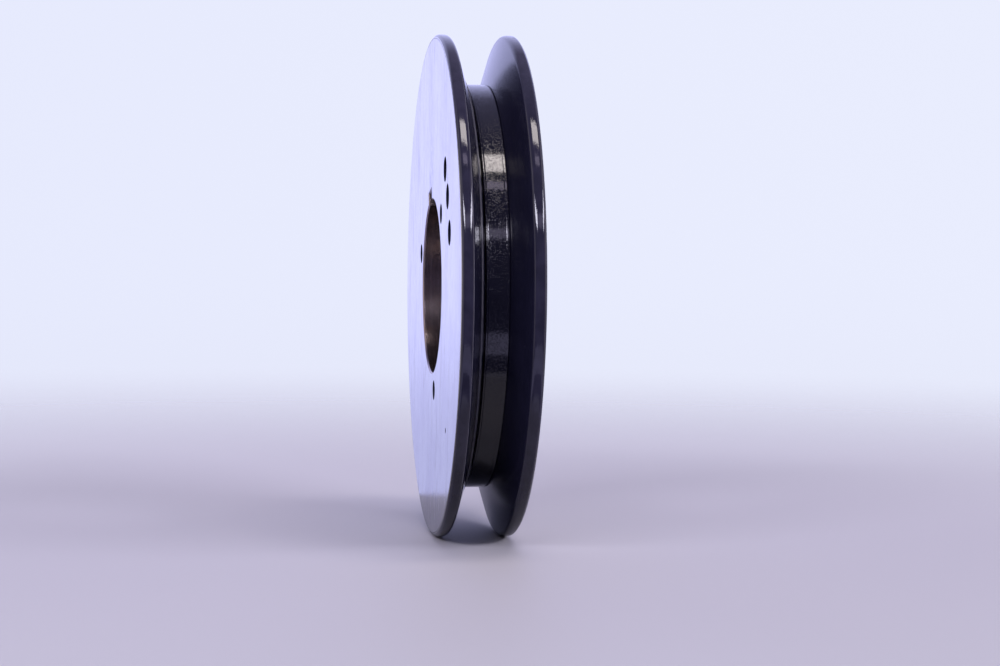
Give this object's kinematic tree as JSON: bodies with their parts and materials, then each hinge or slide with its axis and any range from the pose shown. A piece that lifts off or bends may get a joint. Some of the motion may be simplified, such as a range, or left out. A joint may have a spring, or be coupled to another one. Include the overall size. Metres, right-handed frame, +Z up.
{
  "type": "v belt pulley",
  "caption": "Single-groove V-belt pulley: two turned flanges clamped on a spacer disc, with a keyed bore and bare ground side face.",
  "frame": {"origin": "centre of the pulley, on its axis and midway between its side faces", "axes": "+Y along the axis the pulley turns about, from the bare ground face towards the screw heads; +Z up"},
  "size_m": [0.3, 0.047, 0.3],
  "materials": {
    "ground_steel": "fine ground, bare, with light scratches",
    "black_paint": "semi-gloss black over fine turning marks",
    "rough_black_paint": "glossy black over a rough, orange-peel surface",
    "black_oxide": "black oxide",
    "spring_steel": "plain spring steel",
    "pin_steel": "ground and bright"
  },
  "bodies": {
    "root": {"front_flange": "ground_steel", "spacer_disc": "rough_black_paint", "back_flange": "black_paint", "clamp_screw_1": "black_oxide", "clamp_screw_2": "black_oxide", "clamp_screw_3": "black_oxide", "lock_washer_1": "spring_steel", "lock_washer_2": "spring_steel", "lock_washer_3": "spring_steel", "dowel_pin_1": "pin_steel", "dowel_pin_2": "pin_steel"}
  },
  "joints": []
}
